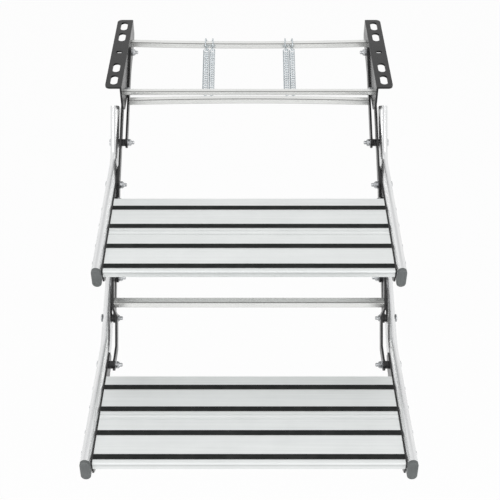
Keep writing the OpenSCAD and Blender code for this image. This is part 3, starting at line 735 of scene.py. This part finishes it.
# Screws of the bars and the planks.
# Pan-head screws with a cross recess: one into each end of a bar, and four through each rail into
# the screw ports of the planks.
recess_long, recess_narrow, recess_deep, recess_height = 0.0046, 0.0012, 0.0022, 0.0024
bpy.ops.mesh.primitive_cube_add(size=1, location=(0, 0, recess_height))
recess = bpy.context.object
recess.scale = (recess_long, recess_narrow, recess_deep)
bpy.ops.mesh.primitive_cube_add(size=1, location=(0, 0, recess_height))
crossing = bpy.context.object
crossing.scale = (recess_narrow, recess_long, recess_deep)
smaller, lower = 0.62, 0.6
pan_size = Matrix.Diagonal((smaller, smaller, lower, 1))
pan_head = join_as("pan_head", [copy_to(domed_head, pan_size)])
for cutter in (recess, crossing):
    cut = pan_head.modifiers.new("recess", "BOOLEAN")
    cut.operation = "DIFFERENCE"
    cut.object = cutter
apply_modifiers(pan_head)
drop(recess, crossing, domed_head)
screw_radius, into_pan = 0.0025, 0.0003


def screwed(name, body, node, places, head_x, tip_x):
    """One row of screws on both sides, from their heads to their tips, in place of a node."""
    parts = []
    for y, z in places:
        parts += both_sides(pan_head, head_x, y, z, 1)
        parts += shanks(head_x + into_pan, tip_x, y, z, screw_radius)
    screws = join_as(name, parts)
    fit(screws, zinc)
    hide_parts(node)
    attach(screws, body)


front_bar_y, front_bar_z, bar_screw_tip = -0.100, -0.037, 0.2475
screwed(
    "bracket_bar_pan_screws", "brackets", "bracket_bar_screws",
    [(rear_bar_y, rear_bar_z), (front_bar_y, front_bar_z)], web_face, bar_screw_tip
)
dress(zinc, "spring_bar_screws", "lower_bar_screws")


def on_upper(y, z):
    """A place given from the upper step's front pivot, with the tread level."""
    return (pivot_at["upper_front"][0] + y, pivot_at["upper_front"][1] + z)


lower_tilt = math.radians(-5)


def on_lower(y, z):
    """A place given from the lower step's front pivot, along the tilted tread."""
    cos, sin = math.cos(lower_tilt), math.sin(lower_tilt)
    y0, z0 = pivot_at["lower_front"]
    return (y0 + y * cos - z * sin, z0 + y * sin + z * cos)


# Each step's name, how far its tread's back is ahead of the front pivot, its places and its tilt
steps = (("upper", 0.0605, on_upper, 0), ("lower", 0.045, on_lower, lower_tilt))
tread_depth, screw_height, screw_tip = 0.2145, 0.004, 0.2535
screw_rows = [0.0295, 0.0785, 0.1395, 0.1885]
for step, back, at, tilt in steps:
    screwed(
        f"{step}_tread_screws", f"{step}_step", f"{step}_plank_screws",
        [at(-back - tread_depth + row, screw_height) for row in screw_rows], rail_face, screw_tip
    )
drop(pan_head)

# Rails.
# Flat-oval aluminium tube, bent up behind the tread, drilled for bolts and screws and anodised.
rail_skin = bright_metal(
    "anodised_rail", (0.86, 0.865, 0.865), (0.74, 0.745, 0.75), (420, 9, 30), 0.2, 0.3, 0.1, 0.8
)
# Painted shade: the rounded top of each rail is painted darker along its middle, a band standing in
# for a reflection
paint_shade_on(rail_skin, (1, 0, 0), 0.42, 0.08, (0.65, 0.655, 0.66))
dress(rail_skin, "upper_rail_left", "upper_rail_right", "lower_rail_left", "lower_rail_right")

# Rail end caps.
# Grey moulded plugs pushed into the rails' front ends, with a rounded rim and a sunk face.
cap_grey = coated("cap_plastic", (0.115, 0.124, 0.124), (0.15, 0.16, 0.16), 1100, 0.42, 0.55, 0.2)
cap_radius, cap_deep, cap_stretch, cap_x = 0.009, 0.008, 0.012, 0.2815
bpy.ops.mesh.primitive_cylinder_add(
    vertices=40, radius=cap_radius, depth=cap_deep, location=(0, -cap_deep / 2, 0),
    rotation=laid_back
)
cap_template = bpy.context.object
bpy.ops.object.transform_apply(location=True, rotation=True)
bpy.ops.object.mode_set(mode="EDIT")
pick_points(cap_template, lambda co: co.z > 0.0001)
bpy.ops.transform.translate(value=(0, 0, cap_stretch))
pick_points(cap_template, lambda co: co.z < 0.0001)
bpy.ops.transform.translate(value=(0, 0, -cap_stretch))
pick_faces(cap_template, lambda face: face.normal.y < -0.9)
bpy.ops.mesh.bevel(offset=0.0024, segments=4)
pick_faces(cap_template, lambda face: face.normal.y < -0.99)
bpy.ops.mesh.inset(thickness=0.0022)
bpy.ops.mesh.inset(thickness=0.0005)
bpy.ops.transform.translate(value=(0, 0.0005, 0))
bpy.ops.object.mode_set(mode="OBJECT")
for step, back, at, tilt in steps:
    for side, x in (("left", -cap_x), ("right", cap_x)):
        y, z = at(-back - tread_depth, 0)
        place = Matrix.Translation((x, y, z)) @ Matrix.Rotation(tilt, 4, "X")
        cap = join_as(f"{step}_end_cap_{side}", [copy_to(cap_template, place)])
        fit(cap, cap_grey, 40)
        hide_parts(f"{step}_cap_{side}")
        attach(cap, f"{step}_step")
drop(cap_template)

# Planks.
# Two hollow aluminium extrusions side by side make each tread, with fine lines left by the die.
# A shallow flute runs along each front edge. It is not modelled; its shade is painted as a darker
# band across the front face.
painted_flute_shade = bpy.data.node_groups.new("painted_flute_shade", "ShaderNodeTree")
socket(painted_flute_shade, "Vector", "NodeSocketVector", "INPUT")
socket(painted_flute_shade, "Turn", "NodeSocketVector", "INPUT", (0.0, 0.0, 0.0))
socket(painted_flute_shade, "Height", "NodeSocketFloat", "INPUT", 0.0)
socket(painted_flute_shade, "Half Width", "NodeSocketFloat", "INPUT", 0.0012)
socket(painted_flute_shade, "Colour", "NodeSocketColor", "INPUT", (0.8, 0.8, 0.8, 1))
socket(painted_flute_shade, "Colour", "NodeSocketColor", "OUTPUT")
tree = painted_flute_shade
given = tree.nodes.new("NodeGroupInput")
level = tree.nodes.new("ShaderNodeVectorRotate")
level.rotation_type = "EULER_XYZ"
link(tree, given.outputs["Vector"], level.inputs["Vector"])
link(tree, given.outputs["Turn"], level.inputs["Rotation"])
parts = tree.nodes.new("ShaderNodeSeparateXYZ")
link(tree, level.outputs["Vector"], parts.inputs["Vector"])
inside = tree.nodes.new("ShaderNodeMath")
inside.operation = "COMPARE"
link(tree, parts.outputs["Z"], inside.inputs[0])
link(tree, given.outputs["Height"], inside.inputs[1])
link(tree, given.outputs["Half Width"], inside.inputs[2])
# Painted shade: inside the band the colour is multiplied darker, the shade a flute would hold
shade = tree.nodes.new("ShaderNodeMix")
shade.data_type = "RGBA"
shade.blend_type = "MULTIPLY"
shade.inputs["B"].default_value = (0.72, 0.72, 0.72, 1)
link(tree, inside.outputs[0], shade.inputs["Factor"])
link(tree, given.outputs["Colour"], shade.inputs["A"])
result = tree.nodes.new("NodeGroupOutput")
link(tree, shade.outputs["Result"], result.inputs["Colour"])

tread_rise, flute_down = 0.012, 0.0058
for step, back, at, tilt in steps:
    plank_skin = bright_metal(
        f"anodised_{step}_plank", (0.83, 0.85, 0.845), (0.76, 0.78, 0.775), (4, 340, 340),
        0.36, 0.48, 0.1, 0.45
    )
    tree = plank_skin.node_tree
    flute_darkening = tree.nodes.new("ShaderNodeGroup")
    flute_darkening.node_tree = painted_flute_shade
    flute_darkening.inputs["Turn"].default_value = (-tilt, 0, 0)
    # The flute's height once the tilted tread is turned level
    y, z = at(0, tread_rise - flute_down)
    flute_darkening.inputs["Height"].default_value = y * math.sin(-tilt) + z * math.cos(-tilt)
    skin = tree.nodes["Principled BSDF"]
    colour = skin.inputs["Base Color"].links[0].from_socket
    link(tree, tree.nodes["Texture Coordinate"].outputs["Object"], flute_darkening.inputs["Vector"])
    link(tree, colour, flute_darkening.inputs["Colour"])
    link(tree, flute_darkening.outputs["Colour"], skin.inputs["Base Color"])
    dress(plank_skin, f"{step}_front_plank", f"{step}_rear_plank")

# Grip strips.
# Black rubber, pushed endways into the planks' dovetail grooves, with fine ribs along the top.
strip_rubber = coated(
    "strip_rubber", (0.008, 0.0095, 0.009), (0.016, 0.018, 0.017), 1500, 0.6, 0.8, 0.3,
    specular=0.35
)
strip_long, strip_wide, strip_deep, strip_ribs, rib_high = 0.539, 0.011, 0.0035, 9, 0.0005
bpy.ops.mesh.primitive_grid_add(
    x_subdivisions=1, y_subdivisions=strip_ribs, size=1, location=(0, 0, 0)
)
strip_template = bpy.context.object
strip_template.scale = (strip_long, strip_wide, 1)
bpy.ops.object.transform_apply(scale=True)
bpy.ops.object.mode_set(mode="EDIT")
bpy.ops.mesh.select_all(action="SELECT")
bpy.ops.mesh.extrude_region_move(TRANSFORM_OT_translate={"value": (0, 0, -strip_deep)})
bpy.ops.mesh.select_all(action="SELECT")
bpy.ops.mesh.normals_make_consistent(inside=False)
rib_wide = strip_wide / strip_ribs
pick_faces(
    strip_template,
    lambda face: face.normal.z > 0.9 and round(face.center.y / rib_wide) % 2 == 0
)
bpy.ops.mesh.extrude_faces_move(TRANSFORM_OT_shrink_fatten={"value": rib_high})
bpy.ops.object.mode_set(mode="OBJECT")
strip_rows, strip_height = [0.015, 0.071, 0.1295, 0.1855], 0.0127
for step, back, at, tilt in steps:
    for number, row in enumerate(strip_rows, 1):
        y, z = at(-back - tread_depth + row, strip_height)
        place = Matrix.Translation((0, y, z)) @ Matrix.Rotation(tilt, 4, "X")
        strip = join_as(f"{step}_grip_strip_{number}", [copy_to(strip_template, place)])
        fit(strip, strip_rubber, 30)
        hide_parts(f"{step}_strip_{number}")
        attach(strip, f"{step}_step")
drop(strip_template)

# Spacers.
# Black moulded sleeves that hold the rails away from the links on the longer pivot bolts.
spacer_black = coated(
    "spacer_plastic", (0.02, 0.02, 0.021), (0.035, 0.035, 0.036), 1300, 0.35, 0.5, 0.15
)
dress(spacer_black, "upper_spacers", "lower_spacers")
